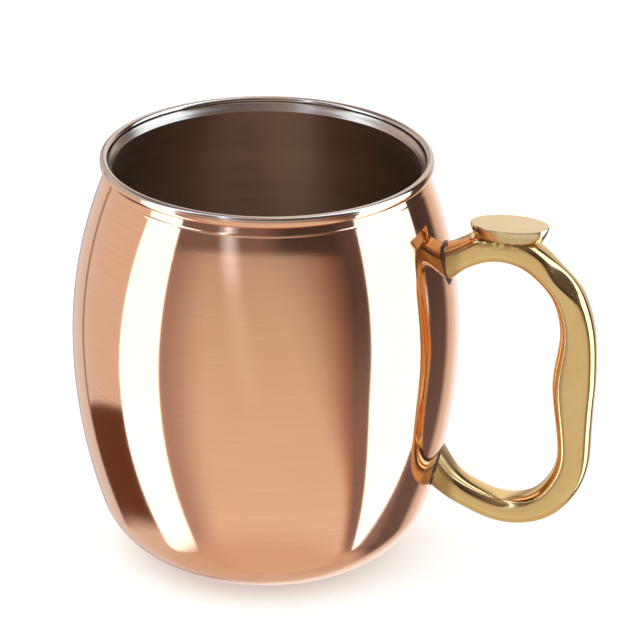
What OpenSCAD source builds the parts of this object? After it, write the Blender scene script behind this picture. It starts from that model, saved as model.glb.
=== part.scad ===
// Barrel mug: a copper jacket over a steel lining, with a cast brass handle and thumb rest.
// Millimetres. The mug stands on z = 0, centred on the Z axis, and its handle points along +X.

/* [Cup] */
// Height from the standing face to the top of the lip
cup_h = 102.5; // [101.5:0.5:105]
// Diameter at the widest point of the barrel
belly_d = 94; // [92:0.5:94.5]
// Height of the widest point
belly_z = 56.5; // [55:0.5:57]
// Radius of the side's curve above the widest point
upper_curve_r = 108; // [105:1:112]
// Radius of the side's curve below the widest point
lower_curve_r = 135; // [125:1:145]
// Radius that turns the side into the base
corner_r = 21; // [18:1:23]

/* [Walls] */
// Thickness of the copper jacket
copper_t = 0.5; // [0.4:0.1:0.6]
// Thickness of the steel lining
steel_t = 0.6; // [0.5:0.1:0.7]

/* [Rim] */
// Diameter over the rolled lip
rim_d = 80; // [79.6:0.2:80.4]
// Radius of the rolled steel lip
lip_r = 1; // [1:0.05:1.1]
// Radius of the bulge of the copper collar under the lip
collar_r = 2.2; // [2.1:0.1:2.4]
// How deep the crease under the collar lies behind the lip
crease_depth = 1; // [0.9:0.1:1.1]

/* [Handle] */
// Radius of the rounded edges of the handle
handle_edge_r = 2.4; // [1.5:0.1:2.9]
// Length of the thumb rest, along the handle
rest_length = 19.2; // [17:0.2:21]
// Width of the thumb rest, across the handle
rest_width = 11.4; // [10:0.2:14]
// Height of the thumb rest's rim
rest_h = 3.6; // [3:0.1:4.2]
// How far the solder reaches out from each joint
solder_reach = 0.7; // [0.5:0.1:1]

/* [Hidden] */
$fn = 96;

// Cup: circles that the outline follows
belly_r = belly_d / 2;
low_angle = asin((belly_z - corner_r) / (lower_curve_r - corner_r));
corner_x = belly_r - lower_curve_r + (lower_curve_r - corner_r) * cos(low_angle);

// Rim: the lip curls from straight inward, over the top, to curl_end below the horizontal
curl_end = -50;
lip_c = [rim_d / 2 - lip_r, cup_h - lip_r];
lip_tip = lip_c + lip_r * [cos(curl_end), sin(curl_end)];
neck_z = cup_h - 3;
collar_x = rim_d / 2 - collar_r;
collar_z = lip_tip.y - sqrt(pow(collar_r, 2) - pow(lip_tip.x - collar_x, 2));
collar_top = asin((lip_tip.y - collar_z) / collar_r);
collar_bottom = -acos((collar_r - crease_depth) / collar_r);
crease_z = collar_z + collar_r * sin(collar_bottom) - 0.25;

// Handle: centre line from the upper foot to the lower foot, as [x, z, half width, half thickness]
ROUTE = [
    [41, 78, 6, 5.4], [43.5, 79, 4.3, 4.8], [48.5, 82, 3.4, 4.4], [55.5, 85, 4.1, 4.3],
    [63, 83.5, 3.6, 4.3], [69, 79, 3.3, 4.3], [74, 73, 3.8, 4.3], [76.5, 63.5, 4.3, 4.3],
    [76, 52.5, 5.3, 4.3], [76, 46, 5, 4.3], [76.5, 37, 4.2, 4.3], [76.5, 30.5, 4, 4.3],
    [74.5, 24, 4, 4.3], [69, 17.5, 3.8, 4.3], [60, 15.5, 3.6, 4.3], [51, 18.5, 3.4, 4.4],
    [45, 22.5, 3.6, 4.8], [40.5, 28.5, 4.1, 5.8]
];
steps_per_span = 4;
corner_steps = 4;
foot_points = 3;

// Thumb rest: a flat-topped oval that tapers down to its seat
rest_x = 59;
seat_z = 86.7;
rest_taper = 1.4;
rest_sides = 60;

// Points of an arc round (cx, cz)
function arc(cx, cz, r, from, to, steps) =
    [for (i = [0:steps]) let (a = from + (to - from) * i / steps) [cx + r * cos(a), cz + r * sin(a)]];
function tail(list) = [for (i = [1:len(list) - 1]) list[i]];
function backwards(list) = [for (i = [len(list) - 1:-1:0]) list[i]];

// The cup's side, t inside its outer surface, from the edge of the base up to the crease
function side(t) = concat(
    arc(corner_x, corner_r, corner_r - t, -90, -low_angle, 12),
    tail(arc(belly_r - lower_curve_r, belly_z, lower_curve_r - t, -low_angle, 0, 8)),
    tail(arc(belly_r - upper_curve_r, belly_z, upper_curve_r - t, 0,
        asin((crease_z - belly_z) / (upper_curve_r - t)), 10)));

// The lining's surface, t inside the outer surface, over the curled lip of radius r
function curled(t, r) = concat(
    side(t),
    [[lip_c.x - r, neck_z]],
    arc(lip_c.x, lip_c.y, r, 180, curl_end, 14));

joint_face = curled(copper_t, lip_r - steel_t);
inner_face = curled(copper_t + steel_t, lip_r);

// Spline through four points
function spline(a, b, c, d, t) =
    (2 * b + (c - a) * t + (2 * a - 5 * b + 4 * c - d) * t * t + (3 * b - a - 3 * c + d) * t * t * t) / 2;
function smooth(p) = let (q = concat([2 * p[0] - p[1]], p, [2 * p[len(p) - 1] - p[len(p) - 2]])) concat(
    [for (i = [1:len(p) - 1], k = [0:steps_per_span - 1])
        spline(q[i - 1], q[i], q[i + 1], q[i + 2], k / steps_per_span)],
    [p[len(p) - 1]]);

// Rounded rectangle of half sizes w and h, as points round its middle
function rounded(w, h) = let (r = min(handle_edge_r, w - 0.3, h - 0.3)) [
    for (q = [[1, 1, 0], [-1, 1, 90], [-1, -1, 180], [1, -1, 270]], k = [0:corner_steps])
        let (a = q[2] + 90 * k / corner_steps)
            [q[0] * (w - r) + r * cos(a), q[1] * (h - r) + r * sin(a)]];

// The section of the handle at point i of the line c, grown by g
function ring(c, i, g) =
    let (d = c[min(i + 1, len(c) - 1)] - c[max(i - 1, 0)], l = norm([d[0], d[1]]))
        [for (s = rounded(c[i][2] + g, c[i][3] + g)) [c[i][0] - d[1] / l * s.x, s.y, c[i][1] + d[0] / l * s.x]];

// A closed bar along a route, grown by g
module bar(route, g = 0) {
    line = smooth(route);
    rings = len(line);
    sides = 4 * (corner_steps + 1);
    polyhedron(
        points = [for (i = [0:rings - 1]) each ring(line, i, g)],
        faces = concat(
            [[for (k = [sides - 1:-1:0]) k]],
            [for (i = [0:rings - 2], k = [0:sides - 1]) let (n = (k + 1) % sides)
                [i * sides + n, (i + 1) * sides + n, (i + 1) * sides + k, i * sides + k]],
            [[for (k = [0:sides - 1]) (rings - 1) * sides + k]]),
        convexity = 4);
}

// Everything inside the barrel's outer surface, grown by g, up to the crease
module barrel(g = 0) {
    outline = side(-g);
    rotate_extrude()
        polygon(concat([[0, -g]], outline, [[0, outline[len(outline) - 1].y]]));
}

module steel_liner() {
    color("#b9b4ac")
        rotate_extrude()
            polygon(concat([[0, copper_t]], joint_face, backwards(inner_face), [[0, copper_t + steel_t]]));
}

module copper_shell() {
    color("#c9784f")
        rotate_extrude()
            polygon(concat(
                [[0, 0]],
                side(0),
                arc(collar_x, collar_z, collar_r, collar_bottom, collar_top, 8),
                backwards(joint_face),
                [[0, copper_t]]));
}

module handle() {
    color("#c9a063")
        difference() {
            bar(ROUTE);
            barrel();
            translate([rest_x - rest_length / 2, -rest_width, seat_z])
                cube([rest_length, 2 * rest_width, rest_h]);
        }
}

module thumb_rest() {
    half = [rest_length, rest_width] / 2;
    seat = half - [rest_taper, rest_taper];
    color("#d8b981")
        translate([rest_x, 0, seat_z])
            linear_extrude(height = rest_h, slices = 1, scale = [half.x / seat.x, half.y / seat.y])
                polygon([for (i = [0:rest_sides - 1]) let (a = 360 * i / rest_sides)
                    [seat.x * cos(a), seat.y * sin(a)]]);
}

// Solder drawn out round one foot of the handle, over the part of the route next to it
module solder_seam(route) {
    color("#a8927c")
        difference() {
            intersection() {
                bar(route, solder_reach);
                barrel(solder_reach);
            }
            barrel();
            bar(route);
        }
}

module upper_solder_seam() {
    solder_seam([for (i = [0:foot_points]) ROUTE[i]]);
}

module lower_solder_seam() {
    solder_seam([for (i = [0:foot_points]) ROUTE[len(ROUTE) - 1 - foot_points + i]]);
}

steel_liner();
copper_shell();
handle();
thumb_rest();
upper_solder_seam();
lower_solder_seam();
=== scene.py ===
"""Visual model of a barrel mug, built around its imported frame.

A spun copper jacket stands over a drawn steel lining with a curled lip. A cast brass handle with a thumb
rest is soldered to the jacket. Lengths are in metres, the mug stands on z = 0 and its handle points along +X.
"""

import logging
import math
from collections.abc import Sequence
from dataclasses import dataclass, field, replace
from enum import Enum
from typing import Any

import bmesh
import bpy
import numpy as np
from mathutils import Matrix, Vector, noise


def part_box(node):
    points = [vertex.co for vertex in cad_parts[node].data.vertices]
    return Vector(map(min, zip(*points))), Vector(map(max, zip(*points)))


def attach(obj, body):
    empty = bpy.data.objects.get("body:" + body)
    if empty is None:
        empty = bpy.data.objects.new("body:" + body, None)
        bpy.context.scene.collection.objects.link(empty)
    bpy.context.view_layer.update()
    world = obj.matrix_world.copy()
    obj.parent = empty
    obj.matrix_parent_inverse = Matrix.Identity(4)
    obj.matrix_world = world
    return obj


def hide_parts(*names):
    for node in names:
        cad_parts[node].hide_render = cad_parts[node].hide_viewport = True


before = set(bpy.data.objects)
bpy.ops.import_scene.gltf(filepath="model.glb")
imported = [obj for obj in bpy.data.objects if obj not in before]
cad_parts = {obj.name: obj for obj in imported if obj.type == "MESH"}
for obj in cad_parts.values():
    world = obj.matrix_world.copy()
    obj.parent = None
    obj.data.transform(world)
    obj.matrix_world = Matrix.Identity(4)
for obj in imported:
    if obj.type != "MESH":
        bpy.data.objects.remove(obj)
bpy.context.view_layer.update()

LOG = logging.getLogger("barrel_mug")
MM = 0.001
Point2 = tuple[float, float]
Colour = tuple[float, float, float]
MARKS_TURN = 0.25  # Anisotropic Rotation of marks that run round the Z axis


class Slot(Enum):
    """Material slots of the record."""

    STEEL = "stainless_steel"
    COPPER = "polished_copper"
    BRASS = "cast_brass"
    SOLDER = "silver_solder"


# ---------------------------------------------------------------- shader graphs


class Wire:
    """A value socket that takes part in Python expressions."""

    def __init__(self, graph: "Graph", socket: bpy.types.NodeSocket) -> None:
        """Wraps an output socket.

        Args:
            graph: The socket's graph.
            socket: The output socket.
        """
        self.graph = graph
        self.socket = socket

    def _math(self, operation: str, *values: Any) -> "Wire":
        """Adds a Math node.

        Args:
            operation: The node's operation.
            *values: Its inputs, in order.

        Returns:
            The node's result.
        """
        made = self.graph.node("ShaderNodeMath", {"operation": operation}, dict(enumerate(values)))
        return Wire(self.graph, made.outputs[0])

    def __add__(self, other: Any) -> "Wire":
        """Returns self + other."""
        return self._math("ADD", self, other)

    def __radd__(self, other: Any) -> "Wire":
        """Returns other + self."""
        return self._math("ADD", other, self)

    def __sub__(self, other: Any) -> "Wire":
        """Returns self - other."""
        return self._math("SUBTRACT", self, other)

    def __rsub__(self, other: Any) -> "Wire":
        """Returns other - self."""
        return self._math("SUBTRACT", other, self)

    def __mul__(self, other: Any) -> "Wire":
        """Returns self * other."""
        return self._math("MULTIPLY", self, other)

    def __rmul__(self, other: Any) -> "Wire":
        """Returns other * self."""
        return self._math("MULTIPLY", other, self)

    def __truediv__(self, other: Any) -> "Wire":
        """Returns self / other."""
        return self._math("DIVIDE", self, other)

    def __pow__(self, other: Any) -> "Wire":
        """Returns self to the power of other."""
        return self._math("POWER", self, other)

    def root(self) -> "Wire":
        """Returns the square root."""
        return self._math("SQRT", self)

    def least(self, other: Any) -> "Wire":
        """Returns the smaller of self and other."""
        return self._math("MINIMUM", self, other)

    def most(self, other: Any) -> "Wire":
        """Returns the larger of self and other."""
        return self._math("MAXIMUM", self, other)

    def held(self, low: float, high: float) -> "Wire":
        """Returns self, held between low and high."""
        return self.least(high).most(low)

    def absolute(self) -> "Wire":
        """Returns self without its sign."""
        return self._math("ABSOLUTE", self)

    def arcsine(self) -> "Wire":
        """Returns the angle in degrees whose sine is self."""
        return self._math("ARCSINE", self) * math.degrees(1.0)

    def arctangent(self, other: Any) -> "Wire":
        """Returns the angle in degrees whose tangent is self / other, all the way round."""
        return self._math("ARCTAN2", self, other) * math.degrees(1.0)

    def rise(self, low: float, high: float) -> "Wire":
        """Maps a range smoothly to 0..1.

        Args:
            low: The value that gives 0.
            high: The value that gives 1. It may lie below low, for a fall.

        Returns:
            The smooth step.
        """
        made = self.graph.node(
            "ShaderNodeMapRange",
            {"interpolation_type": "SMOOTHSTEP"},
            {"Value": self, "From Min": low, "From Max": high, "To Min": 0.0, "To Max": 1.0},
        )
        return Wire(self.graph, made.outputs["Result"])

    def above(self, edge: float, soft: float) -> "Wire":
        """Returns 1 above an edge and 0 below it. It changes over soft on either side of the edge."""
        return self.rise(edge - soft, edge + soft)

    def below(self, edge: float, soft: float) -> "Wire":
        """Returns 1 below an edge and 0 above it. It changes over soft on either side of the edge."""
        return self.rise(edge + soft, edge - soft)

    def peak(self, middle: float, reach: float) -> "Wire":
        """Returns 1 at the middle, falling smoothly to 0 at reach on either side."""
        return self.rise(middle - reach, middle) * self.rise(middle + reach, middle)


class Graph:
    """The nodes of one material or world."""

    def __init__(self, tree: bpy.types.NodeTree) -> None:
        """Clears a node tree and wraps it.

        Args:
            tree: The tree to fill.
        """
        self.tree = tree
        self.known_axes: dict[str, tuple[Wire, Wire, Wire]] = {}
        tree.nodes.clear()

    def node(
        self, kind: str, settings: dict[str, Any] | None = None, sockets: dict[Any, Any] | None = None
    ) -> bpy.types.Node:
        """Adds a node.

        Args:
            kind: The node's type.
            settings: Properties of the node, set first.
            sockets: Values or links of the inputs, by name, identifier or number.

        Returns:
            The new node.
        """
        made = self.tree.nodes.new(kind)
        for name, value in (settings or {}).items():
            setattr(made, name, value)
        for name, value in (sockets or {}).items():
            self._feed(self._input(made, name), value)
        return made

    @staticmethod
    def _input(made: bpy.types.Node, name: Any) -> bpy.types.NodeSocket:
        """Finds an input.

        Args:
            made: The node.
            name: The input's number, identifier or name.

        Returns:
            The socket.
        """
        if isinstance(name, int):
            return made.inputs[name]
        by_identifier = [s for s in made.inputs if s.identifier == name]
        return by_identifier[0] if by_identifier else made.inputs[name]

    def _feed(self, socket: bpy.types.NodeSocket, value: Any) -> None:
        """Links a wire or an output to an input, or sets the input's own value.

        Args:
            socket: The input.
            value: A Wire, an output socket, a number or a tuple.
        """
        if isinstance(value, Wire):
            value = value.socket
        if isinstance(value, bpy.types.NodeSocket):
            self.tree.links.new(value, socket)
        elif socket.type == "RGBA" and len(value) == 3:
            socket.default_value = (*value, 1.0)
        else:
            socket.default_value = value

    def axes(self, source: str = "Object") -> tuple[Wire, Wire, Wire]:
        """Gives the X, Y and Z coordinates.

        Args:
            source: The output of the Texture Coordinate node.

        Returns:
            Three wires.
        """
        if source not in self.known_axes:
            place = self.node("ShaderNodeTexCoord")
            parts = self.node("ShaderNodeSeparateXYZ", None, {"Vector": place.outputs[source]})
            self.known_axes[source] = tuple(Wire(self, output) for output in parts.outputs)
        return self.known_axes[source]

    def vector(self, x: Any, y: Any, z: Any) -> bpy.types.NodeSocket:
        """Joins three values into a vector output."""
        return self.node("ShaderNodeCombineXYZ", None, {"X": x, "Y": y, "Z": z}).outputs[0]

    def grain(self, place: Any, scale: float, detail: float = 2.0, roughness: float = 0.5) -> Wire:
        """Adds a noise texture.

        Args:
            place: The vector that it is read at.
            scale: Its scale.
            detail: Its octaves.
            roughness: How strong the finer octaves are.

        Returns:
            The noise, about 0.5.
        """
        sockets = {"Vector": place, "Scale": scale, "Detail": detail, "Roughness": roughness}
        return Wire(self, self.node("ShaderNodeTexNoise", None, sockets).outputs[0])

    def turned_marks(self, around: float, across: float, detail: float, roughness: float) -> Wire:
        """Adds noise that is drawn out round the Z axis, like the marks of a lathe.

        Args:
            around: Its scale round the axis.
            across: Its scale across the marks.
            detail: Its octaves.
            roughness: How strong the finer octaves are.

        Returns:
            The noise, about 0.5.
        """
        x, y, z = self.axes()
        along = z + (x * x + y * y).root()
        return self.grain(self.vector(x * around, y * around, along * across), 1.0, detail, roughness)

    def blend(self, mask: Any, first: Any, second: Any, mode: str = "MIX") -> bpy.types.NodeSocket:
        """Mixes two colours.

        Args:
            mask: How much of the second colour shows.
            first: The first colour.
            second: The second colour.
            mode: The Mix node's blend type.

        Returns:
            The colour output.
        """
        settings = {"data_type": "RGBA", "blend_type": mode}
        sockets = {"Factor_Float": mask, "A_Color": first, "B_Color": second}
        made = self.node("ShaderNodeMix", settings, sockets)
        return next(s for s in made.outputs if s.identifier == "Result_Color")

    def scaled(self, colour: Any, factor: Any) -> bpy.types.NodeSocket:
        """Multiplies a colour or vector by a number."""
        sockets = {"Vector": colour, "Scale": factor}
        return self.node("ShaderNodeVectorMath", {"operation": "SCALE"}, sockets).outputs[0]

    def bump(self, height: Wire, depth: float) -> bpy.types.NodeSocket:
        """Turns a height of 0..1 into a normal.

        Args:
            height: The height.
            depth: How deep 0..1 is, in metres.

        Returns:
            The normal output.
        """
        sockets = {"Strength": 1.0, "Distance": depth, "Height": height}
        return self.node("ShaderNodeBump", None, sockets).outputs[0]

    def metal(self, constants: dict[str, Any], varying: dict[str, Any]) -> None:
        """Adds a metallic surface and the output.

        Args:
            constants: Values of the surface that are the same all over.
            varying: Sockets that change over the surface.
        """
        surface = self.node("ShaderNodeBsdfPrincipled", None, {"Metallic": 1.0, **constants, **varying})
        self.node("ShaderNodeOutputMaterial", None, {"Surface": surface.outputs[0]})


def new_material(name: str) -> tuple[bpy.types.Material, Graph]:
    """Makes an empty material.

    Args:
        name: Its name.

    Returns:
        The material and its graph.
    """
    material = bpy.data.materials.new(name)
    material.use_nodes = True
    return material, Graph(material.node_tree)


# ---------------------------------------------------------------- finishes


@dataclass(frozen=True)
class TurnedCopper:
    """Copper, spun and polished, with a fine brushing round the barrel, and painted shade with some tarnish
    in the crease under the collar.
    """

    colour: Colour = (0.93, 0.50, 0.30)
    rosy: Colour = (0.94, 0.525, 0.335)
    # Tarnish colour, also used for painted shade in the crease.
    tarnish_and_painted_shade: Colour = (0.52, 0.20, 0.11)
    roughness: float = 0.066
    anisotropy: float = 0.36
    mark_depth: float = 0.0026 * MM
    crease_low: float = 99.0 * MM
    crease_high: float = 100.1 * MM
    foot_z: float = 4.0 * MM

    def make(self) -> bpy.types.Material:
        """Makes the material.

        Returns:
            The material.
        """
        material, g = new_material("turned_copper")
        x, y, z = g.axes()
        fine = g.turned_marks(around=46.0, across=3600.0, detail=3.0, roughness=0.7)
        broad = g.turned_marks(around=14.0, across=1100.0, detail=2.0, roughness=0.6)
        clouds = g.grain(g.vector(x, y, z), 34.0, 3.0, 0.55)
        nicks = g.grain(g.vector(x * 3.0, y * 3.0, z), 900.0, 2.0, 0.6).rise(0.68, 0.75)
        into_crease = z.rise(self.crease_low, self.crease_low + 0.3 * MM)
        crease = into_crease * z.rise(self.crease_high, self.crease_high - 0.6 * MM)
        worn = z.rise(self.foot_z, 0.0)
        base = g.blend(clouds.rise(0.36, 0.66) * 0.6, self.colour, self.rosy)
        base = g.blend(fine.rise(0.3, 0.75) * 0.075 + broad.rise(0.35, 0.7) * 0.03, base, self.tarnish_and_painted_shade)
        # Painted shade: the crease under the collar is darkened towards the tarnish colour, partly real
        # tarnish and partly the shade that falls in it.
        base = g.blend(crease * 0.8 + worn * 0.12, base, self.tarnish_and_painted_shade)
        rough = self.roughness + (fine - 0.5) * 0.05 + broad.rise(0.4, 0.75) * 0.012 + nicks * 0.08
        rough = rough + clouds.rise(0.4, 0.7) * 0.012 + crease * 0.12 + worn * 0.12
        height = fine * 0.75 + broad * 0.25 + nicks * 0.1
        g.metal(
            {"Anisotropic": self.anisotropy, "Anisotropic Rotation": MARKS_TURN},
            {"Base Color": base, "Roughness": rough, "Normal": g.bump(height, self.mark_depth)},
        )
        return material


@dataclass(frozen=True)
class DrawnSteel:
    """Stainless steel, drawn and brushed round the inside, polished on the lip."""

    colour: Colour = (0.60, 0.46, 0.365)
    shade: Colour = (0.44, 0.33, 0.26)
    lip_colour: Colour = (0.62, 0.495, 0.40)
    roughness: float = 0.30
    lip_roughness: float = 0.115
    anisotropy: float = 0.5
    mark_depth: float = 0.004 * MM
    lip_z: float = 100.6 * MM

    def make(self) -> bpy.types.Material:
        """Makes the material.

        Returns:
            The material.
        """
        material, g = new_material("drawn_steel")
        x, y, z = g.axes()
        fine = g.turned_marks(around=50.0, across=3200.0, detail=3.0, roughness=0.7)
        bands = g.turned_marks(around=9.0, across=420.0, detail=2.0, roughness=0.6)
        clouds = g.grain(g.vector(x, y, z), 60.0, 3.0, 0.6)
        lip = z.rise(self.lip_z, self.lip_z + 1.0 * MM)
        base = g.blend(bands.rise(0.35, 0.7) * 0.35 + clouds.rise(0.4, 0.7) * 0.2, self.colour, self.shade)
        base = g.blend(lip * (0.85 + bands * 0.1), base, self.lip_colour)
        rough = self.roughness - lip * (self.roughness - self.lip_roughness)
        rough = rough + (fine - 0.5) * 0.12 + clouds.rise(0.45, 0.75) * 0.05
        height = fine * 0.6 + bands * 0.4
        g.metal(
            {"Anisotropic": self.anisotropy, "Anisotropic Rotation": MARKS_TURN},
            {"Base Color": base, "Roughness": rough, "Normal": g.bump(height, self.mark_depth)},
        )
        return material


@dataclass(frozen=True)
class CastBrass:
    """Brass, cast and then polished by hand, with grime and painted shade in its joints."""

    seat_x: float
    seat_z: float
    colour: Colour = (0.80, 0.535, 0.225)
    pale: Colour = (0.84, 0.59, 0.275)
    # Tarnish colour, also used for painted shade in the joints.
    tarnish_and_painted_shade: Colour = (0.36, 0.185, 0.06)
    roughness: float = 0.10
    stroke_depth: float = 0.03
    relief: float = 0.09 * MM
    joint_radius: float = 46.5 * MM
    joint_reach: float = 3.0 * MM
    seat_reach: float = 8.5 * MM

    def grime_and_painted_shade(self, g: Graph, clouds: Wire, crust: Wire) -> Wire:
        """Grime and painted shade where the feet meet the cup, and along the thumb rest's seat.

        Args:
            g: The material's graph.
            clouds: Broad noise that breaks up the grime and painted shade at the feet.
            crust: Finer noise that breaks up the grime and painted shade at the seat.

        Returns:
            A mask of 0..1.
        """
        x, y, z = g.axes()
        foot = (x * x + y * y).root().rise(self.joint_radius + self.joint_reach, self.joint_radius)
        off = x - self.seat_x
        under = z.rise(self.seat_z - 2.2 * MM, self.seat_z - 0.4 * MM)
        under = under * z.rise(self.seat_z + 0.7 * MM, self.seat_z)
        seat = under * (off * off).rise(self.seat_reach**2, (self.seat_reach - 3.0 * MM) ** 2)
        return (foot * clouds.rise(0.2, 0.6) + seat * crust.rise(0.3, 0.55)).least(1.0)

    def make(self) -> bpy.types.Material:
        """Makes the material.

        Returns:
            The material.
        """
        material, g = new_material("cast_brass")
        x, y, z = g.axes()
        place = g.vector(x, y, z)
        waves = g.grain(place, 110.0, 1.0, 0.4)
        clouds = g.grain(place, 75.0, 3.0, 0.6)
        pores = g.grain(place, 2600.0, 2.0, 0.6).rise(0.70, 0.78)
        crust = g.grain(place, 800.0, 2.0, 0.5)
        strokes = g.grain(g.vector(x * 260.0, y * 2100.0, z * 260.0), 1.0, 3.0, 0.7)
        grime_and_painted_shade = self.grime_and_painted_shade(g, clouds, crust)
        base = g.blend(clouds.rise(0.35, 0.68) * 0.6, self.colour, self.pale)
        base = g.blend(strokes.rise(0.35, 0.8) * 0.08, base, self.tarnish_and_painted_shade)
        # Painted shade: the feet and the seat under the thumb rest are darkened towards the tarnish colour,
        # partly real grime and partly the shade in the joints.
        base = g.blend((grime_and_painted_shade * 0.75 + pores * 0.35).least(1.0), base, self.tarnish_and_painted_shade)
        rough = self.roughness + (strokes - 0.5) * 0.06 + grime_and_painted_shade * 0.25 + pores * 0.2
        rough = rough + clouds.rise(0.5, 0.8) * 0.03
        height = waves * 0.8 + strokes * self.stroke_depth - pores * 0.08 + grime_and_painted_shade * crust * 0.08
        g.metal({}, {"Base Color": base, "Roughness": rough, "Normal": g.bump(height, self.relief)})
        return material


@dataclass(frozen=True)
class RunSolder:
    """Solder that ran round a joint, burnt dark in places, and painted dark for the shade in the gap at the
    joint.
    """

    colour: Colour = (0.62, 0.43, 0.29)
    burnt_and_painted_shade: Colour = (0.065, 0.028, 0.016)
    relief: float = 0.07 * MM

    def make(self) -> bpy.types.Material:
        """Makes the material.

        Returns:
            The material.
        """
        material, g = new_material("run_solder")
        x, y, z = g.axes()
        place = g.vector(x, y, z)
        lumps = g.grain(place, 900.0, 3.0, 0.6)
        stains = g.grain(place, 260.0, 3.0, 0.6)
        # Painted shade: the dark over much of the seam is partly burnt solder and partly the shade in the gap
        # where the handle meets the barrel.
        base = g.blend(stains.rise(0.30, 0.5) * 0.92, self.colour, self.burnt_and_painted_shade)
        rough = 0.22 + lumps.rise(0.4, 0.7) * 0.2 + stains.rise(0.4, 0.6) * 0.2
        g.metal({}, {"Base Color": base, "Roughness": rough, "Normal": g.bump(lumps, self.relief)})
        return material


# ---------------------------------------------------------------- meshes


def arc(centre: Point2, radius: float, start: float, end: float, steps: int) -> list[Point2]:
    """Points along an arc.

    Args:
        centre: Its centre.
        radius: Its radius.
        start: The first angle in degrees.
        end: The last angle in degrees.
        steps: How many steps it takes.

    Returns:
        steps + 1 points.
    """
    angles = (math.radians(start + (end - start) * i / steps) for i in range(steps + 1))
    return [(centre[0] + radius * math.cos(a), centre[1] + radius * math.sin(a)) for a in angles]


def hump(value: float, middle: float, span: float) -> float:
    """A smooth hump, 1 at its middle and almost 0 two spans away."""
    return math.exp(-(((value - middle) / span) ** 2))


def finish_mesh(name: str, bm: bmesh.types.BMesh, sharp: float = 50.0) -> bpy.types.Object:
    """Turns a bmesh into a smooth-shaded object.

    Args:
        name: The object's name.
        bm: The mesh, which is freed.
        sharp: Edges that turn by more than this many degrees stay crisp.

    Returns:
        The object, linked to the scene.
    """
    bmesh.ops.recalc_face_normals(bm, faces=bm.faces)
    limit = math.radians(sharp)
    for edge in bm.edges:
        edge.smooth = not (len(edge.link_faces) == 2 and edge.calc_face_angle() > limit)
    for face in bm.faces:
        face.smooth = True
    mesh = bpy.data.meshes.new(name)
    bm.to_mesh(mesh)
    bm.free()
    made = bpy.data.objects.new(name, mesh)
    bpy.context.scene.collection.objects.link(made)
    return made


def lathe(name: str, outline: Sequence[Point2], steps: int = 288) -> bpy.types.Object:
    """Turns a closed outline round the Z axis.

    Args:
        name: The object's name.
        outline: (radius, height) points from one end on the axis to the other.
        steps: How many steps go round.

    Returns:
        The object.
    """
    bm = bmesh.new()
    first = bm.verts.new((0.0, 0.0, outline[0][1]))
    last = bm.verts.new((0.0, 0.0, outline[-1][1]))
    turns = [2 * math.pi * i / steps for i in range(steps)]
    rings = []
    for r, z in outline[1:-1]:
        rings.append([bm.verts.new((r * math.cos(a), r * math.sin(a), z)) for a in turns])
    for i in range(steps):
        j = (i + 1) % steps
        bm.faces.new((first, rings[0][j], rings[0][i]))
        bm.faces.new((last, rings[-1][i], rings[-1][j]))
        for a, b in zip(rings, rings[1:]):
            bm.faces.new((a[i], a[j], b[j], b[i]))
    return finish_mesh(name, bm)


def sweep(
    name: str, rings: Sequence[Sequence[Vector]], closed: bool, sharp: float = 50.0
) -> bpy.types.Object:
    """Skins a row of rings.

    Args:
        name: The object's name.
        rings: Rings of the same number of points.
        closed: Whether the last ring joins the first; if not, both ends are capped.
        sharp: Edges that turn by more than this many degrees stay crisp.

    Returns:
        The object.
    """
    bm = bmesh.new()
    rows = [[bm.verts.new(p) for p in ring] for ring in rings]
    sides = len(rows[0])
    pairs = list(zip(rows, rows[1:])) + ([(rows[-1], rows[0])] if closed else [])
    for a, b in pairs:
        for i in range(sides):
            j = (i + 1) % sides
            bm.faces.new((a[i], a[j], b[j], b[i]))
    if not closed:
        for row in (rows[0], rows[-1]):
            middle = bm.verts.new(sum((v.co for v in row), Vector()) / sides)
            for i in range(sides):
                bm.faces.new((row[i], row[(i + 1) % sides], middle))
    return finish_mesh(name, bm, sharp)


def place_piece(piece: bpy.types.Object, material: bpy.types.Material, node: str) -> None:
    """Dresses a piece and fixes it to the mug.

    Args:
        piece: The piece.
        material: Its material.
        node: The CAD node that it stands for.
    """
    piece.data.materials.append(material)
    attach(piece, "root")
    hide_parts(node)
    LOG.info("%s: %d faces", piece.name, len(piece.data.polygons))


# ---------------------------------------------------------------- cup


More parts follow.
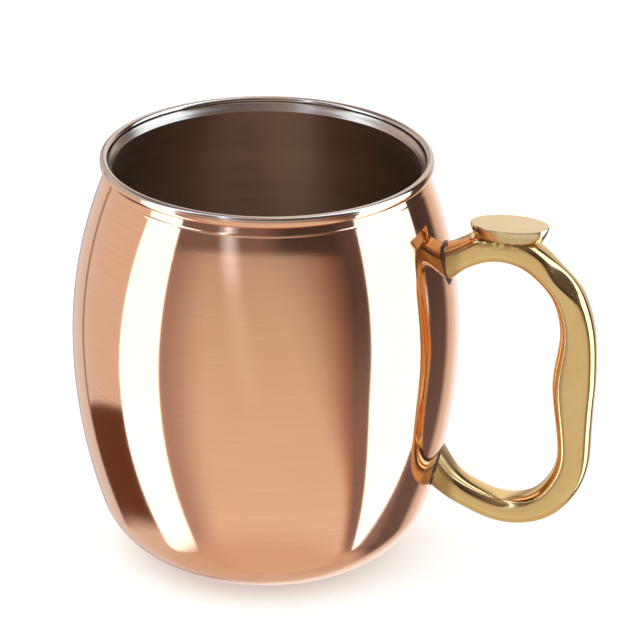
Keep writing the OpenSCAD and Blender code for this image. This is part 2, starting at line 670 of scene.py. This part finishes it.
@dataclass
class Cup:
    """The copper jacket and the steel lining, pressed together and locked by the curled lip."""

    height: float
    belly_r: float
    belly_z: float = 56.5 * MM
    upper_r: float = 108 * MM
    lower_r: float = 135 * MM
    corner_r: float = 21 * MM
    copper_t: float = 0.5 * MM
    steel_t: float = 0.6 * MM
    rim_r: float = 40 * MM
    lip_r: float = 1.0 * MM
    lip_end: float = 4.0
    throat: float = 3.2 * MM
    curl_drop: float = 1.1 * MM
    bead_drop: float = 5.45 * MM
    base_rings: int = 12
    throat_steps: int = 12
    side_steps: tuple[int, int, int] = (34, 40, 44)
    lip_steps: int = 30

    def __post_init__(self) -> None:
        """Works out the circles that the outline follows."""
        span = self.lower_r - self.corner_r
        self.low_angle = math.degrees(math.asin((self.belly_z - self.corner_r) / span))
        reach = span * math.cos(math.radians(self.low_angle))
        self.corner_x = self.belly_r - self.lower_r + reach
        self.lip_c = (self.rim_r - self.lip_r, self.height - self.lip_r)

    def radius_at(self, z: float) -> float:
        """Radius of the barrel's outer surface.

        Args:
            z: The height.

        Returns:
            The radius.
        """
        low_top = self.corner_r - self.corner_r * math.sin(math.radians(self.low_angle))
        if z < low_top:
            return self.corner_x + math.sqrt(max(self.corner_r**2 - (z - self.corner_r) ** 2, 0.0))
        curve = self.lower_r if z < self.belly_z else self.upper_r
        return self.belly_r - curve + math.sqrt(curve**2 - (z - self.belly_z) ** 2)

    def normal_at(self, point: Vector) -> Vector:
        """Outward normal of the barrel.

        Args:
            point: A point on its side.

        Returns:
            The unit normal.
        """
        curve = self.lower_r if point.z < self.belly_z else self.upper_r
        tilt = math.asin(max(-1.0, min(1.0, (point.z - self.belly_z) / curve)))
        turn = math.atan2(point.y, point.x)
        return Vector((math.cos(turn) * math.cos(tilt), math.sin(turn) * math.cos(tilt), math.sin(tilt)))

    def side(self, inset: float, top_z: float) -> list[Point2]:
        """The side's outline from the edge of the base upwards.

        Args:
            inset: How far inside the outer surface it lies.
            top_z: The height that it ends at.

        Returns:
            (radius, height) points.
        """
        corner_steps, lower_steps, upper_steps = self.side_steps
        corner_c = (self.corner_x, self.corner_r)
        lower_c = (self.belly_r - self.lower_r, self.belly_z)
        upper_c = (self.belly_r - self.upper_r, self.belly_z)
        top = math.degrees(math.asin((top_z - self.belly_z) / (self.upper_r - inset)))
        corner = arc(corner_c, self.corner_r - inset, -90, -self.low_angle, corner_steps)
        lower = arc(lower_c, self.lower_r - inset, -self.low_angle, 0, lower_steps)
        upper = arc(upper_c, self.upper_r - inset, 0, top, upper_steps)
        return corner + lower[1:] + upper[1:]

    def base(self, z: float) -> list[Point2]:
        """Rings of the flat base, from the axis to just before its corner."""
        return [(self.corner_x * i / self.base_rings, z) for i in range(self.base_rings)]

    def inner_side(self, inset: float, radius: float) -> list[Point2]:
        """The outline of one face of the lining: its side, the neck and the curled lip.

        Args:
            inset: How far inside the outer surface it lies.
            radius: The radius of the curl on this face.

        Returns:
            (radius, height) points from the base's edge to the lip's tip.
        """
        neck_r = self.lip_c[0] - radius
        start_z = self.height - self.throat
        start_r = self.radius_at(start_z) - inset
        neck = []
        for i in range(1, self.throat_steps):
            share = i / self.throat_steps
            ease = share * share * (3 - 2 * share)
            z = start_z + (self.height - self.curl_drop - start_z) * share
            neck.append((start_r + (neck_r - start_r) * ease, z))
        lip = arc(self.lip_c, radius, 180, self.lip_end, self.lip_steps)
        return self.side(inset, start_z) + neck + lip

    def rim_of_jacket(self) -> list[Point2]:
        """The fine bead that ends the side, the neck over it, the crease, and the collar up to the lip.

        Their points are in millimetres. The bead and the neck are measured outwards from the barrel's curve,
        the crease and the collar inwards from the rim, and all of them down from the top.

        Returns:
            (radius, height) points going up.
        """
        bead = [(0.0, 5.30), (0.012, 5.20), (0.035, 5.10), (0.045, 5.02), (0.02, 4.92), (-0.05, 4.83)]
        neck = [(-0.06, drop) for drop in (4.70, 4.50, 4.25, 4.00, 3.75, 3.50, 3.25)]
        crease = [(1.93, 3.08), (1.86, 3.00), (1.72, 2.94), (1.45, 2.90), (1.10, 2.86), (0.80, 2.80)]
        collar = [
            (0.56, 2.70), (0.36, 2.56), (0.22, 2.38), (0.13, 2.18), (0.07, 1.96), (0.04, 1.72),
            (0.04, 1.48), (0.06, 1.26), (0.10, 1.08), (0.18, 0.98), (0.34, 0.95),
        ]
        points = []
        for swell, drop in bead + neck:
            z = self.height - drop * MM
            points.append((self.radius_at(z) + swell * MM, z))
        for inset, drop in crease + collar:
            points.append((self.rim_r - inset * MM, self.height - drop * MM))
        return points

    def build_jacket(self) -> bpy.types.Object:
        """Spins the copper jacket.

        Returns:
            The jacket.
        """
        outer = self.side(0.0, self.height - self.bead_drop) + self.rim_of_jacket()
        inner = self.inner_side(self.copper_t, self.lip_r - self.steel_t)
        outline = self.base(0.0) + outer + inner[::-1] + self.base(self.copper_t)[::-1]
        return lathe("copper_jacket", outline)

    def build_lining(self) -> bpy.types.Object:
        """Draws the steel lining with its curled lip.

        Returns:
            The lining.
        """
        wall = self.copper_t + self.steel_t
        hidden = self.inner_side(self.copper_t, self.lip_r - self.steel_t)
        shown = self.inner_side(wall, self.lip_r)
        outline = self.base(self.copper_t) + hidden + shown[::-1] + self.base(wall)[::-1]
        return lathe("steel_lining", outline)

    def build(self) -> None:
        """Builds and dresses both walls."""
        place_piece(self.build_jacket(), TurnedCopper().make(), "copper_shell")
        place_piece(self.build_lining(), DrawnSteel().make(), "steel_liner")


# ---------------------------------------------------------------- handle


@dataclass(frozen=True)
class Station:
    """One station of the handle's route, in millimetres."""

    x: float
    z: float
    half_width: float
    half_thickness: float


HANDLE_ROUTE = [
    Station(41, 78, 6, 5.4), Station(43.5, 79, 4.3, 4.8), Station(48.5, 82, 3.4, 4.4),
    Station(55.5, 85, 4.1, 4.3), Station(63, 83.5, 3.6, 4.3), Station(69, 79, 3.3, 4.3),
    Station(74, 73, 3.8, 4.3), Station(76.5, 63.5, 4.3, 4.3), Station(76, 52.5, 5.3, 4.3),
    Station(76, 46, 5, 4.3), Station(76.5, 37, 4.2, 4.3), Station(76.5, 30.5, 4, 4.3),
    Station(74.5, 24, 4, 4.3), Station(69, 17.5, 3.8, 4.3), Station(60, 15.5, 3.6, 4.3),
    Station(51, 18.5, 3.4, 4.4), Station(45, 22.5, 3.6, 4.8), Station(40.5, 28.5, 4.1, 5.8),
]


@dataclass
class Handle:
    """The brass casting and the solder round its two feet.

    filed_at, filed_span, worn_at and worn_span count stations of the route.
    """

    cup: Cup
    brass: CastBrass
    steps_per_span: int = 14
    smoothing_passes: int = 26
    sides: int = 64
    squareness: float = 2.85
    crowding: float = 0.07
    filed_at: float = 5.4
    filed_span: float = 0.85
    filed_depth: float = 0.95 * MM
    unfiled_margin: float = 0.6 * MM
    filed_softness: float = 0.25 * MM
    worn_at: float = 14.9
    worn_span: float = 1.7
    worn_softness: float = 0.55
    embed: float = 0.12 * MM
    solder: float = 0.75 * MM
    solder_rings: int = 4
    solder_steps: int = 6
    drip_span: float = 1.1 * MM

    def centre_line(self) -> np.ndarray:
        """The smoothed route.

        Returns:
            Rows of x, z, half width and half thickness, in metres.
        """
        stations = np.array([[s.x, s.z, s.half_width, s.half_thickness] for s in HANDLE_ROUTE]) * MM
        padded = np.vstack([2 * stations[0] - stations[1], stations, 2 * stations[-1] - stations[-2]])
        rows = []
        for a, b, c, d in zip(padded, padded[1:], padded[2:], padded[3:]):
            for k in range(self.steps_per_span):
                t = k / self.steps_per_span
                cubic = (3 * b - a - 3 * c + d) * t**3
                rows.append((2 * b + (c - a) * t + (2 * a - 5 * b + 4 * c - d) * t**2 + cubic) / 2)
        line = np.array(rows + [stations[-1]])
        for _ in range(self.smoothing_passes):
            line[1:-1] = (line[:-2] + 2 * line[1:-1] + line[2:]) / 4
        return line

    def section(
        self, half_width: float, half_thickness: float, filed: float, worn: float
    ) -> list[Point2]:
        """A rectangle whose faces swell and run softly into rounded edges.

        Args:
            half_width: Half its size in the plane of the handle.
            half_thickness: Half its size across the handle.
            filed: How far the two outer edges are filed off, as a share of the full depth.
            worn: How far the whole section is worn round, as a share.

        Returns:
            Points round the middle.
        """
        power = self.squareness - self.worn_softness * worn
        corner = math.sqrt(2.0) * (half_width**-power + half_thickness**-power) ** (-1 / power)
        limit = corner + self.unfiled_margin * (1 - filed) - self.filed_depth * filed
        points = []
        for i in range(self.sides):
            turn = 2 * math.pi * (i + 0.5) / self.sides
            turn -= self.crowding * math.sin(4 * turn)
            c, s = math.cos(turn), math.sin(turn)
            size = (abs(c) ** power + abs(s) ** power) ** (-1 / power)
            u, v = half_width * size * c, half_thickness * size * s
            over = (u + abs(v)) / math.sqrt(2.0) - limit
            cut = (over + math.hypot(over, self.filed_softness)) / 2 / math.sqrt(2.0)
            points.append((u - cut, v - math.copysign(cut, v)))
        return points

    def lines(self) -> np.ndarray:
        """The casting's surface before its feet are trimmed.

        Returns:
            Points by station and by place round the section.
        """
        line = self.centre_line()
        tangent = np.gradient(line[:, :2], axis=0)
        tangent /= np.linalg.norm(tangent, axis=1)[:, None]
        rings = []
        for i, ((x, z, w, h), (tx, tz)) in enumerate(zip(line, tangent)):
            station = i / self.steps_per_span
            filed = hump(station, self.filed_at, self.filed_span)
            worn = hump(station, self.worn_at, self.worn_span)
            section = self.section(w, h, filed, worn)
            rings.append([(x - tz * u, v, z + tx * u) for u, v in section])
        return np.array(rings)

    def depth(self, point: Sequence[float]) -> float:
        """How far a point lies outside the barrel, measured level."""
        return math.hypot(point[0], point[1]) - self.cup.radius_at(point[2])

    def trimmed(self) -> np.ndarray:
        """The casting's surface, cut just below the barrel's surface and flat under the thumb rest.

        Returns:
            Points by ring and by place round the section.
        """
        raw = self.lines()
        count = len(raw)
        middle = count // 2
        columns = []
        for k in range(raw.shape[1]):
            column = raw[:, k]
            outside = np.array([self.depth(p) + self.embed for p in column])
            start = max(i for i in range(middle) if outside[i] <= 0)
            start += outside[start] / (outside[start] - outside[start + 1])
            end = min(i for i in range(middle, count) if outside[i] <= 0)
            end -= outside[end] / (outside[end] - outside[end - 1])
            at = np.linspace(start, end, count)
            cut = [np.interp(at, np.arange(count), column[:, axis]) for axis in range(3)]
            columns.append(np.stack(cut, -1))
        rings = np.array(columns).transpose(1, 0, 2)
        rings[..., 2] = np.minimum(rings[..., 2], self.brass.seat_z)
        return rings

    def build_casting(self, rings: np.ndarray) -> bpy.types.Object:
        """Skins the casting."""
        skin = [[Vector(p) for p in ring] for ring in rings]
        return sweep("handle_casting", skin, closed=False, sharp=38.0)

    def build_seam(
        self, name: str, foot: np.ndarray, inward: np.ndarray, seed: float, drip: float
    ) -> bpy.types.Object:
        """Runs solder round one foot.

        Args:
            name: The object's name.
            foot: The ring where the casting meets the barrel.
            inward: The next ring up the casting, about a solder's width away.
            seed: Where the lumps are read.
            drip: How much more solder has run to the lowest corner of the joint.

        Returns:
            The seam.
        """
        middle = Vector(foot.mean(axis=0))
        lowest = foot[:, 2].min()
        rings = []
        for here, above in zip(foot, inward):
            point = Vector(here)
            normal = self.cup.normal_at(point)
            point += normal * self.embed
            up = (Vector(above) - point).normalized()
            out = point - middle
            out -= normal * out.dot(normal)
            out.normalize()
            lump = noise.noise(point * 260 + Vector((seed, 0, 0)))
            ripple = noise.noise(point * 700 + Vector((seed, 5, 0)))
            run = drip * hump(point.z, lowest, self.drip_span) * (1.0 if point.y < 0 else 0.25)
            reach = self.solder * max(0.35, 0.78 + 1.1 * lump + 0.3 * ripple + run)
            climb = self.solder * max(0.3, 0.7 + 1.0 * lump - 0.35 * ripple + run)
            low = point + out * reach
            high = point + up * climb
            pinch = point + (out * reach + up * climb) * 0.24
            ring = [point - out * 0.3 * MM - normal * 0.15 * MM, low - normal * 0.1 * MM]
            for k in range(self.solder_steps + 1):
                t = k / self.solder_steps
                ring.append(low * (1 - t) ** 2 + pinch * 2 * t * (1 - t) + high * t**2)
            ring.append(high - out * 0.12 * MM)
            rings.append(ring)
        return sweep(name, rings, closed=True, sharp=60.0)

    def build(self) -> None:
        """Builds and dresses the casting and its seams."""
        rings = self.trimmed()
        place_piece(self.build_casting(rings), self.brass.make(), "handle")
        solder = RunSolder().make()
        upper = self.build_seam("upper_solder", rings[0], rings[self.solder_rings], 3.0, 0.45)
        place_piece(upper, solder, "upper_solder_seam")
        lower = self.build_seam("lower_solder", rings[-1], rings[-1 - self.solder_rings], 11.0, 0.0)
        place_piece(lower, solder, "lower_solder_seam")


# ---------------------------------------------------------------- thumb rest


@dataclass
class ThumbRest:
    """The flat oval pad on the arch, tapered down to its seat."""

    low: Vector
    high: Vector
    brass: CastBrass
    taper: float = 1.4 * MM
    edge: float = 0.2 * MM
    bulge: float = 0.22 * MM
    seat_inset: float = 1.2 * MM
    flank_rings: int = 17
    steps: int = 160

    def profile(self, tall: float) -> list[Point2]:
        """The flank's outline, from the seat to the top face.

        Args:
            tall: The pad's height.

        Returns:
            (how far inside the top edge, height) points.
        """
        lean = math.degrees(math.atan2(tall, self.taper))
        inset = self.edge / math.tan(math.radians(lean / 2))
        low_edge = self.edge * 0.6
        points = [(self.taper + more, 0.0) for more in (self.seat_inset, low_edge, 0.2 * low_edge)]
        slope = self.taper / tall
        for h in np.linspace(0.06 * MM, tall - 2 * self.edge, self.flank_rings):
            points.append((self.taper - slope * h - self.bulge * math.sin(math.pi * h / tall), h))
        points += [(inset - x, tall - self.edge + z) for x, z in arc((0.0, 0.0), self.edge, lean - 90, 90, 8)]
        return points

    def build(self) -> None:
        """Builds and dresses the pad."""
        centre_x = (self.low.x + self.high.x) / 2
        half = ((self.high.x - self.low.x) / 2, (self.high.y - self.low.y) / 2)
        tall = self.high.z - self.low.z
        outline = self.profile(tall)
        rows = [(half[0] - i, half[1] - i, z) for i, z in outline]
        top_x, top_y, top_z = rows[-1]
        rows += [(top_x * k, top_y * k, top_z) for k in (0.97, 0.9, 0.8, 0.6, 0.4, 0.2)]
        turns = [2 * math.pi * i / self.steps for i in range(self.steps)]
        rings = []
        for rx, ry, up in rows:
            z = self.low.z + up
            rings.append([Vector((centre_x + rx * math.cos(a), ry * math.sin(a), z)) for a in turns])
        rest = sweep("thumb_pad", rings, closed=False, sharp=60.0)
        place_piece(rest, self.brass.make(), "thumb_rest")


# ---------------------------------------------------------------- studio


@dataclass(frozen=True)
class Sky:
    """The world's graph, and the direction that it is seen in, in degrees.

    Azimuth 0 is straight in front, towards -Y, and rises towards the handle.
    """

    graph: Graph
    azimuth: Wire
    elevation: Wire

    def sunk(self) -> Wire:
        """Returns the square of how far the direction lies below -20 degrees."""
        depth = (-20.0 - self.elevation).most(0.0)
        return depth * depth


class Light:
    """Something that lights the mug. Its places and sizes are angles in degrees."""

    def add(self, sky: Sky, colour: Any) -> bpy.types.NodeSocket:
        """Lays the light over the light so far.

        Args:
            sky: The direction that is seen.
            colour: The light so far.

        Returns:
            The light's colour in that direction.
        """
        raise NotImplementedError


@dataclass(frozen=True)
class Room:
    """The dim room all round, with the white backdrop behind."""

    light: float = 0.062
    tint: Colour = (1.0, 0.82, 0.88)
    haze: Colour = (0.68, 0.62, 0.56)
    backdrop: float = 1.05

    def fill(self, sky: Sky) -> bpy.types.NodeSocket:
        """The light that everything else is laid over.

        Args:
            sky: The direction that is seen.

        Returns:
            The light's colour in that direction.
        """
        azimuth, elevation = sky.azimuth, sky.elevation
        front = azimuth.below(17.0, 13.0) * 0.145
        under_handle = azimuth.above(63.0, 7.0) * 0.05
        low = elevation.below(-16.0, 20.0) * 0.165
        high = elevation.above(56.0, 24.0) * 0.3
        light = self.light + front + under_handle + low + high
        light = light * (1.0 - azimuth.above(122.0, 5.0) * 0.4)
        dim = sky.graph.scaled(self.tint, light)
        dim = sky.graph.blend(azimuth.above(147.5, 4.5), dim, self.haze)
        return sky.graph.blend(azimuth.absolute().above(160.0, 12.0), dim, (self.backdrop,) * 3)


@dataclass(frozen=True)
class FrontCard(Light):
    """A big card in front, with a bowed top edge. It fades towards the handle."""

    light: float = 0.675
    left: float = -64.0
    top: float = 17.2
    top_middle: float = 10.0
    top_bow: float = 0.002
    fade_at: float = 57.5
    fade_flare: float = 0.0215
    fade_margin: float = 8.0
    fade_curve: float = 1.7
    white: Colour = (1.0, 0.99, 0.95)
    rosy: Colour = (1.0, 0.85, 0.88)
    faded: Colour = (1.0, 0.66, 0.5)

    def add(self, sky: Sky, colour: Any) -> bpy.types.NodeSocket:
        """Lays the card over the light so far. See Light.add."""
        azimuth, elevation = sky.azimuth, sky.elevation
        off = azimuth - self.top_middle
        over = elevation - (self.top - off * off * self.top_bow)
        past = azimuth - self.fade_at - sky.sunk() * self.fade_flare
        reach = (36.0 + elevation * 0.72).held(4.0, 48.0)
        share = ((self.fade_margin - past) / (reach + self.fade_margin)).held(0.0, 1.0)
        share = 1.0 - (1.0 - share) ** self.fade_curve
        lit = azimuth.rise(-50.0, -21.0)
        tone = self.light - elevation * 0.0034 - elevation.most(0.0) * 0.0045
        tone = tone * (0.6 + lit * 0.4)
        tint = sky.graph.blend(lit, self.rosy, self.white)
        tint = sky.graph.blend(share.rise(0.95, 0.2), tint, self.faded)
        mask = azimuth.above(self.left, 2.0) * share * over.below(0.0, 0.7)
        return sky.graph.blend(mask, colour, sky.graph.scaled(tint, tone))


@dataclass(frozen=True)
class SideCard(Light):
    """A card on the left, with a thin dark line down it and a gap under it."""

    light: float = 0.78
    line_at: float = -124.5
    line_colour: Colour = (0.2, 0.12, 0.09)
    gap_slope: float = 0.2
    gap_colour: Colour = (0.145, 0.07, 0.045)

    def add(self, sky: Sky, colour: Any) -> bpy.types.NodeSocket:
        """Lays the card over the light so far. See Light.add."""
        azimuth, elevation = sky.azimuth, sky.elevation
        card = azimuth.above(-152.0, 6.0) * azimuth.below(-64.0, 2.0) * elevation.below(36.0, 10.0)
        colour = sky.graph.blend(card, colour, (self.light,) * 3)
        line = azimuth.peak(self.line_at, 2.5) * elevation.below(12.0, 6.0) * elevation.above(-29.0, 1.0)
        colour = sky.graph.blend(line * 0.9, colour, self.line_colour)
        tilted = elevation + (azimuth + 90.0) * self.gap_slope
        gap = azimuth.above(-125.0, 2.0) * azimuth.below(-72.0, 2.0)
        gap = gap * tilted.above(-47.25, 1.75) * elevation.below(-28.5, 0.5)
        return sky.graph.blend(gap, colour, self.gap_colour)


@dataclass(frozen=True)
class Streak(Light):
    """A small lamp over the front card, whose image is drawn out downwards."""

    middle: float = -5.0
    slope: float = 0.42
    core: float = 4.0
    halo: float = 9.5
    colour: Colour = (1.0, 1.45, 2.1)

    def add(self, sky: Sky, colour: Any) -> bpy.types.NodeSocket:
        """Adds the lamp to the light so far. See Light.add."""
        across, elevation = sky.azimuth + sky.elevation * self.slope, sky.elevation
        glow = elevation.rise(3.0, 18.0) * 0.42 + elevation.rise(-36.0, 8.0) * 0.08
        lamp = elevation.rise(19.0, 26.0) * 1.2
        light = across.peak(self.middle, self.halo) * glow + across.peak(self.middle, self.core) * lamp
        return sky.graph.blend(1.0, colour, sky.graph.scaled(self.colour, light), "ADD")


@dataclass(frozen=True)
class Softbox(Light):
    """A tall light whose upright edges may lean, and flare low down, where it stands near the mug."""

    left: float
    right: float
    low: float
    lean_left: float = 0.0
    lean_right: float = 0.0
    flare_left: float = 0.0
    flare_right: float = 0.0
    light: Colour = (1.9, 2.55, 3.25)
    soft: float = 0.6

    def add(self, sky: Sky, colour: Any) -> bpy.types.NodeSocket:
        """Lays the softbox over the light so far. See Light.add."""
        azimuth, elevation = sky.azimuth, sky.elevation
        left = azimuth - elevation * self.lean_left - sky.sunk() * self.flare_left
        right = azimuth - elevation * self.lean_right - sky.sunk() * self.flare_right
        mask = left.above(self.left, self.soft) * right.below(self.right, self.soft)
        return sky.graph.blend(mask * elevation.above(self.low, 1.5), colour, self.light)


@dataclass(frozen=True)
class FloorGlow(Light):
    """The pale floor straight below, as the metal sees it."""

    colour: Colour = (0.73, 0.657, 0.584)
    top: float = -56.5

    def add(self, sky: Sky, colour: Any) -> bpy.types.NodeSocket:
        """Lays the floor over the light so far. See Light.add."""
        return sky.graph.blend(sky.elevation.below(self.top, 4.5) * 0.9, colour, self.colour)


LEFT_SOFTBOX = Softbox(
    left=-77.3, right=-50.4, low=-57.0,
    lean_left=0.25, lean_right=0.1, flare_left=0.0083, flare_right=0.003,
)
RIGHT_SOFTBOX = Softbox(left=76.0, right=123.5, low=-56.0, flare_left=0.0197, flare_right=-0.018)


@dataclass
class Studio:
    """The floor, the camera and the light all round."""

    room: Room = Room()
    lights: Sequence[Light] = (FrontCard(), SideCard(), Streak(), LEFT_SOFTBOX, RIGHT_SOFTBOX, FloorGlow())
    fill_light: Colour = (1.6, 1.6, 1.6)
    bounce_light: Colour = (1.2, 1.8, 2.5)
    white: Colour = (1.0, 1.0, 1.0)
    floor_radius: float = 6.0
    camera_at: Vector = field(default_factory=lambda: Vector((0.1844, -0.8351, 0.4414)))
    camera_aim: Vector = field(default_factory=lambda: Vector((0.01219, 0.00582, 0.05794)))
    lens: float = 216.93
    roll: float = 0.76

    def build_floor(self) -> None:
        """Lays a plain pale floor, which the metal does not mirror."""
        bm = bmesh.new()
        bmesh.ops.create_circle(bm, cap_ends=True, segments=128, radius=self.floor_radius)
        floor = finish_mesh("studio_floor", bm)
        material, g = new_material("pale_floor")
        x, y, z = g.axes()
        clouds = g.grain(g.vector(x, y, z), 6.0, 2.0)
        base = g.blend(clouds, (0.93, 0.93, 0.93), (0.95, 0.95, 0.948))
        sockets = {"Roughness": 0.9, "Specular IOR Level": 0.0, "Base Color": base}
        surface = g.node("ShaderNodeBsdfPrincipled", None, sockets)
        g.node("ShaderNodeOutputMaterial", None, {"Surface": surface.outputs[0]})
        floor.data.materials.append(material)
        floor.visible_glossy = False

    def build_light(self) -> None:
        """Surrounds the mug with the lights, which only the metal sees.

        The camera sees plain white, and the floor gets an even fill. A glossy path that comes from the floor
        gets bounce_light, so that the copper casts no coloured glow there.
        """
        world = bpy.data.worlds.new("studio")
        bpy.context.scene.world = world
        world.use_nodes = True
        g = Graph(world.node_tree)
        x, y, z = g.axes("Generated")
        sky = Sky(graph=g, azimuth=x.arctangent(0.0 - y), elevation=z.held(-1.0, 1.0).arcsine())
        colour = self.room.fill(sky)
        for light in self.lights:
            colour = light.add(sky, colour)
        path = g.node("ShaderNodeLightPath")
        from_floor = Wire(g, path.outputs["Diffuse Depth"]).above(0.5, 0.1)
        colour = g.blend(from_floor, colour, self.bounce_light)
        seen = g.blend(path.outputs["Is Glossy Ray"], self.fill_light, colour)
        seen = g.blend(path.outputs["Is Camera Ray"], seen, self.white)
        background = g.node("ShaderNodeBackground", None, {"Color": seen, "Strength": 1.0})
        g.node("ShaderNodeOutputWorld", None, {"Surface": background.outputs[0]})

    def build_camera(self) -> None:
        """Sets the camera."""
        data = bpy.data.cameras.new("camera")
        data.lens = self.lens
        data.sensor_width = 36.0
        data.clip_start = 0.01
        camera = bpy.data.objects.new("camera", data)
        look = (self.camera_aim - self.camera_at).to_track_quat("-Z", "Y").to_matrix().to_4x4()
        roll = Matrix.Rotation(math.radians(self.roll), 4, "Z")
        camera.matrix_world = Matrix.Translation(self.camera_at) @ look @ roll
        bpy.context.scene.collection.objects.link(camera)
        bpy.context.scene.camera = camera

    def build(self) -> None:
        """Builds the studio."""
        self.build_floor()
        self.build_light()
        self.build_camera()
        bpy.context.scene.view_settings.view_transform = "Standard"
        LOG.info("studio ready")


def main() -> None:
    """Builds the mug and its studio."""
    logging.basicConfig(level=logging.INFO, format="%(name)s: %(message)s")
    Studio().build()
    cup = Cup(height=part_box("steel_liner")[1].z, belly_r=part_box("copper_shell")[1].x)
    cup.build()
    pad_low, pad_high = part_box("thumb_rest")
    brass = CastBrass(seat_x=(pad_low.x + pad_high.x) / 2, seat_z=pad_low.z)
    Handle(cup=cup, brass=brass).build()
    satin = replace(
        brass, colour=(0.74, 0.56, 0.315), pale=(0.78, 0.60, 0.36), roughness=0.16, stroke_depth=0.008
    )
    ThumbRest(low=pad_low, high=pad_high, brass=satin).build()


if __name__ == "__main__":
    main()
